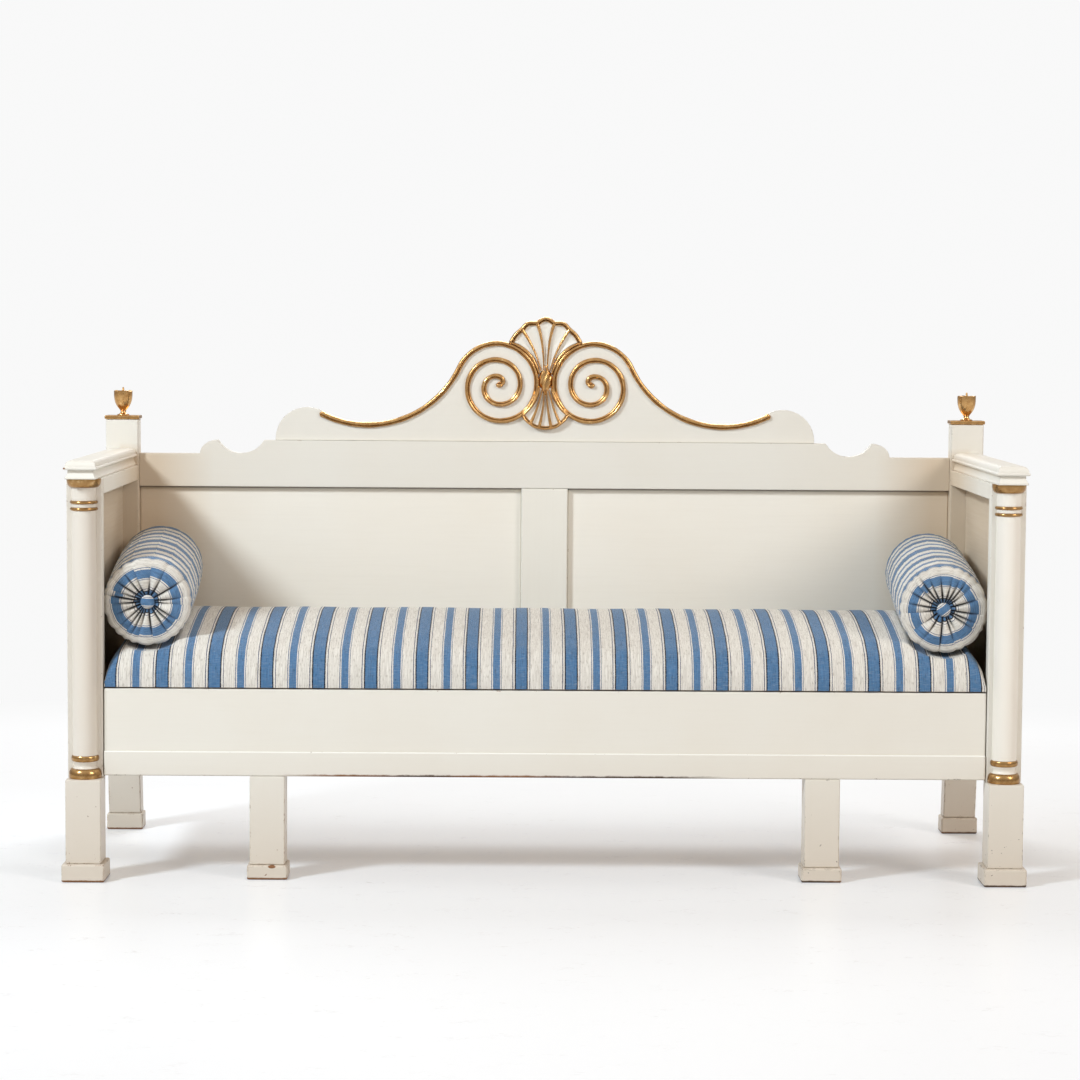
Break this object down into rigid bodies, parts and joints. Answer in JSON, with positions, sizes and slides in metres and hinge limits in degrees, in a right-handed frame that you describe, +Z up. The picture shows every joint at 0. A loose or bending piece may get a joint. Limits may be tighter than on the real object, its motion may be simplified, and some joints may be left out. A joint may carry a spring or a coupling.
{
  "type": "wooden frame sofa",
  "caption": "Painted pull-out sofa with half-column arms, urn finials, a carved scroll and shell crest, a loose crowned seat and end bolsters in striped ticking.",
  "frame": {"origin": "on the floor, under the middle of the sofa's overall box", "axes": "+X along the sofa to the sitter's left, -Y the sofa's front, +Z up"},
  "size_m": [2, 0.679, 1.172],
  "materials": {
    "ivory_paint": "worn satin oil paint in warm ivory",
    "gilding": "antique gilding on carved wood",
    "ticking": "woven linen ticking, blue and natural stripes",
    "bare_pine": "unpainted aged pine"
  },
  "bodies": {
    "carcass": {"arm_cap_left": "ivory_paint", "arm_cap_right": "ivory_paint", "arm_panel_left": "ivory_paint", "arm_panel_right": "ivory_paint", "arm_top_rail_left": "ivory_paint", "arm_top_rail_right": "ivory_paint", "back_bottom_rail": "ivory_paint", "back_centre_stile": "ivory_paint", "back_panel_left": "ivory_paint", "back_panel_right": "ivory_paint", "back_top_rail": "ivory_paint", "bed_runner_left": "bare_pine", "bed_runner_right": "bare_pine", "crest_board": "ivory_paint", "finial_plate_left": "gilding", "finial_plate_right": "gilding", "front_foot_left": "ivory_paint", "front_foot_right": "ivory_paint", "front_plinth_left": "ivory_paint", "front_plinth_right": "ivory_paint", "front_seat_rail": "bare_pine", "front_stile_left": "ivory_paint", "front_stile_right": "ivory_paint", "half_column_left": "ivory_paint", "half_column_right": "ivory_paint", "rear_foot_left": "ivory_paint", "rear_foot_right": "ivory_paint", "rear_post_left": "ivory_paint", "rear_post_right": "ivory_paint", "scroll_moulding_left": "gilding", "scroll_moulding_right": "gilding", "seat_cleat_left": "bare_pine", "seat_cleat_right": "bare_pine", "shell_boss": "gilding", "shell_lower": "gilding", "shell_upper": "gilding", "side_rail_left": "ivory_paint", "side_rail_right": "ivory_paint", "urn_finial_left": "gilding", "urn_finial_right": "gilding"},
    "pull_out_bed": {"apron_board": "ivory_paint", "apron_strip": "ivory_paint", "bed_back": "bare_pine", "bed_bottom": "bare_pine", "bed_side_left": "bare_pine", "bed_side_right": "bare_pine", "pull_foot_left": "ivory_paint", "pull_foot_right": "ivory_paint", "pull_leg_left": "ivory_paint", "pull_leg_right": "ivory_paint"},
    "loose_seat": {"seat_board": "bare_pine", "seat_pad": "ticking"},
    "bolster_left": {"bolster_button_back_left": "ticking", "bolster_button_front_left": "ticking", "bolster_left": "ticking"},
    "bolster_right": {"bolster_button_back_right": "ticking", "bolster_button_front_right": "ticking", "bolster_right": "ticking"}
  },
  "joints": [
    {"name": "bed_pullout", "type": "slide", "parent": "carcass", "child": "pull_out_bed", "axis": [0, -1, 0], "range_m": [0, 0.42]},
    {"name": "seat_lift", "type": "slide", "parent": "carcass", "child": "loose_seat", "axis": [0, 0, 1], "range_m": [0, 0.1]},
    {"name": "bolster_left_lift", "type": "slide", "parent": "loose_seat", "child": "bolster_left", "axis": [0.6, 0, 0.8], "range_m": [0, 0.25]},
    {"name": "bolster_right_lift", "type": "slide", "parent": "loose_seat", "child": "bolster_right", "axis": [-0.6, 0, 0.8], "range_m": [0, 0.25]}
  ]
}
